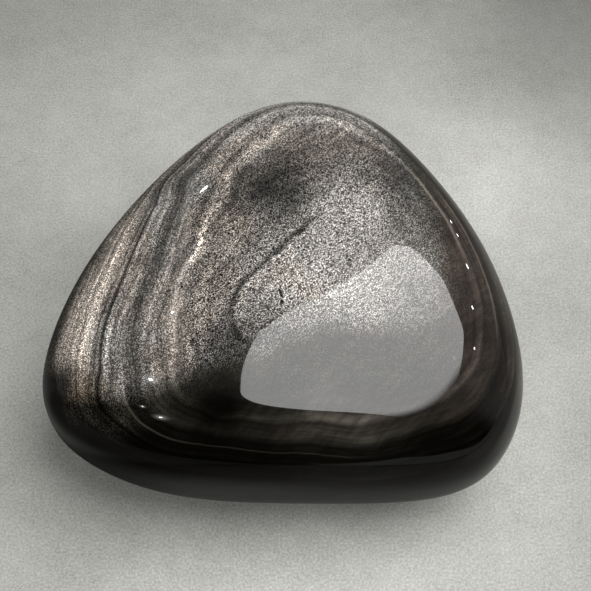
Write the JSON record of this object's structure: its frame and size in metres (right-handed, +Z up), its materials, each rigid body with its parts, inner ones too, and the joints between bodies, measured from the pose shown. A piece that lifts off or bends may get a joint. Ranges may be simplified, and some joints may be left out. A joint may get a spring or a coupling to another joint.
{
  "type": "polished silver obsidian stone",
  "caption": "Polished freeform stone of silver-sheen obsidian: a rounded-triangle pebble with a gentle dome, thick rounded edges and a flat underside, for display, decoration or the palm.",
  "frame": {"origin": "centre of the bounding box's bottom face, on the surface that the stone rests on", "axes": "+Z up, the thin direction; +X along the long, nearly straight front side, toward the tight corner; +Y from that side to the blunt apex"},
  "size_m": [0.1016, 0.0978, 0.043],
  "materials": {
    "silver_obsidian": "High mirror polish over near-black volcanic glass, with flowing bands of fine-grained silver-grey sheen"
  },
  "bodies": {
    "root": {"stone": "silver_obsidian"}
  },
  "joints": []
}
